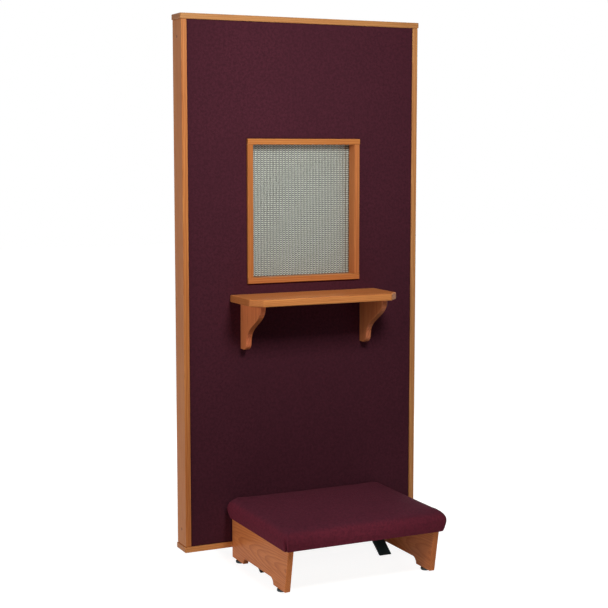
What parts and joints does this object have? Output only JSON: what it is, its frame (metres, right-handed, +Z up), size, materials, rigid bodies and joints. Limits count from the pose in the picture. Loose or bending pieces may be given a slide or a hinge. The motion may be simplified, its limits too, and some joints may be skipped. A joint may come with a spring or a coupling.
{
  "type": "confessional screen with kneeler",
  "caption": "Free-standing confessional screen: fabric panel in a wood frame with a wire-mesh window, bracketed shelf and steel strap feet, and a loose padded kneeler before it.",
  "frame": {"origin": "on the floor, on the centre plane, midway between the pad's front and the straps' rear tips", "axes": "+X to the right of someone facing the front, +Y to the back, +Z up"},
  "size_m": [0.906, 0.7568, 1.872],
  "materials": {
    "oak": "stained oak, satin lacquer",
    "softwood": "bare softwood and plywood, hidden",
    "hardboard": "plain hardboard, hidden under the fabric",
    "panel_cloth": "burgundy woven panel fabric",
    "pad_cloth": "burgundy upholstery fabric, tight weave",
    "foam": "open-cell upholstery foam, hidden",
    "wire": "bright woven steel wire",
    "black_steel": "black satin paint",
    "black_plastic": "black moulded plastic"
  },
  "bodies": {
    "screen": {"stile_left": "oak", "stile_right": "oak", "top_rail": "oak", "bottom_rail": "oak", "plug_left_top": "oak", "plug_left_bottom": "oak", "plug_right_top": "oak", "plug_right_bottom": "oak", "core_stud_left": "softwood", "core_stud_right": "softwood", "core_plate_top": "softwood", "core_plate_bottom": "softwood", "core_header": "softwood", "core_sill": "softwood", "core_trimmer_left": "softwood", "core_trimmer_right": "softwood", "shelf_backer": "softwood", "front_board": "hardboard", "rear_board": "hardboard", "front_fabric": "panel_cloth", "rear_fabric": "panel_cloth", "window_head": "oak", "window_sill": "oak", "window_jamb_left": "oak", "window_jamb_right": "oak", "window_mesh": "wire", "shelf_board": "oak", "shelf_bracket_left": "oak", "shelf_bracket_right": "oak", "foot_left": "black_steel", "foot_right": "black_steel", "foot_screw_left_front": "black_steel", "foot_screw_left_rear": "black_steel", "foot_screw_right_front": "black_steel", "foot_screw_right_rear": "black_steel"},
    "kneeler": {"kneeler_side_left": "oak", "kneeler_side_right": "oak", "kneeler_rear_rail": "oak", "seat_cleat_left": "softwood", "seat_cleat_right": "softwood", "seat_board": "softwood", "seat_foam": "foam", "seat_cover": "pad_cloth", "glide_left_front": "black_plastic", "glide_left_rear": "black_plastic", "glide_right_front": "black_plastic", "glide_right_rear": "black_plastic"}
  },
  "joints": [
    {"name": "kneeler_slide", "type": "slide", "parent": "screen", "child": "kneeler", "axis": [0, -1, 0], "range_m": [0, 0.5]}
  ]
}
